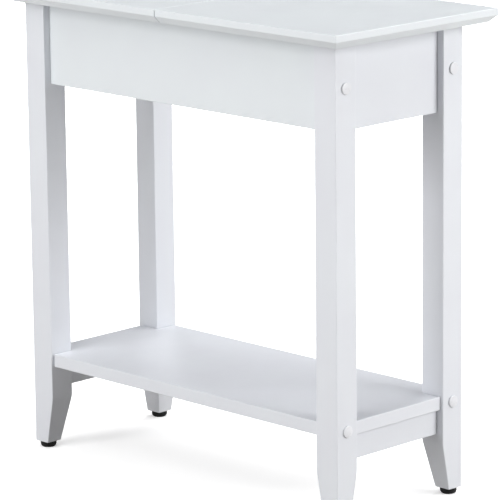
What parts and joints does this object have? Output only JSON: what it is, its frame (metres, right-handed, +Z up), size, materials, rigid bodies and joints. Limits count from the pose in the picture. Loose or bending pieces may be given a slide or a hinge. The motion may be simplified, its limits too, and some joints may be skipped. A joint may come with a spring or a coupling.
{
  "type": "lift top end table",
  "caption": "Narrow white end table: bevelled top with a lift-up half over a storage box, square legs tapered at the feet, lower shelf on end rails, capped bolts and black glides.",
  "frame": {"origin": "on the floor under the middle of the table", "axes": "+X along the long side towards the lid, -Y out of the front long side, +Z up"},
  "size_m": [0.61, 0.286, 0.61],
  "materials": {
    "white_paint": "white satin paint on wood",
    "cap_plastic": "moulded white plastic",
    "black_plastic": "moulded black plastic",
    "soft_rubber": "soft grey rubber",
    "beech": "bare beech",
    "zinc_steel": "zinc-plated steel",
    "hinge_zinc": "cast zinc, satin nickel plate"
  },
  "bodies": {
    "frame": {"fixed_top": "white_paint", "leg_front_left": "white_paint", "leg_front_right": "white_paint", "leg_back_right": "white_paint", "leg_back_left": "white_paint", "front_apron": "white_paint", "back_apron": "white_paint", "left_end_apron": "white_paint", "right_end_apron": "white_paint", "left_stretcher": "white_paint", "right_stretcher": "white_paint", "shelf": "white_paint", "seam_rail": "white_paint", "compartment_bottom": "white_paint", "glide_front_left": "black_plastic", "glide_front_right": "black_plastic", "glide_back_right": "black_plastic", "glide_back_left": "black_plastic", "apron_dowels": "beech", "end_frame_dowels": "beech", "stretcher_dowels": "beech", "rail_dowels": "beech", "frame_bolts": "zinc_steel", "barrel_nuts": "zinc_steel", "top_brackets": "zinc_steel", "bracket_screws": "zinc_steel", "rail_screws": "zinc_steel", "glide_nails": "zinc_steel", "stay_stud": "zinc_steel", "hinge_screws_fixed": "zinc_steel", "hinge_fixed_front": "hinge_zinc", "hinge_fixed_back": "hinge_zinc", "bolt_caps": "cap_plastic", "stay_washer": "cap_plastic", "lid_bumpers": "soft_rubber"},
    "lid": {"lid": "white_paint", "hinge_lid_front": "hinge_zinc", "hinge_lid_back": "hinge_zinc", "hinge_screws_lid": "zinc_steel", "stay_arm": "zinc_steel", "stay_screws": "zinc_steel"},
    "link_front": {"hinge_link_front": "zinc_steel"},
    "link_back": {"hinge_link_back": "zinc_steel"}
  },
  "joints": [
    {"name": "lid_hinge", "type": "hinge", "parent": "frame", "child": "lid", "pos_m": [0, 0, 0.61], "axis": [0, -1, 0], "range_deg": [0, 95]},
    {"name": "front_link_turn", "type": "hinge", "parent": "frame", "child": "link_front", "pos_m": [0, -0.09, 0.61], "axis": [0, -1, 0], "range_deg": [0, 47.5]},
    {"name": "back_link_turn", "type": "hinge", "parent": "frame", "child": "link_back", "pos_m": [0, 0.09, 0.61], "axis": [0, -1, 0], "range_deg": [0, 47.5]}
  ],
  "couplings": [
    {"joint": "front_link_turn", "follows": "lid_hinge", "ratio": 0.5},
    {"joint": "back_link_turn", "follows": "lid_hinge", "ratio": 0.5}
  ]
}
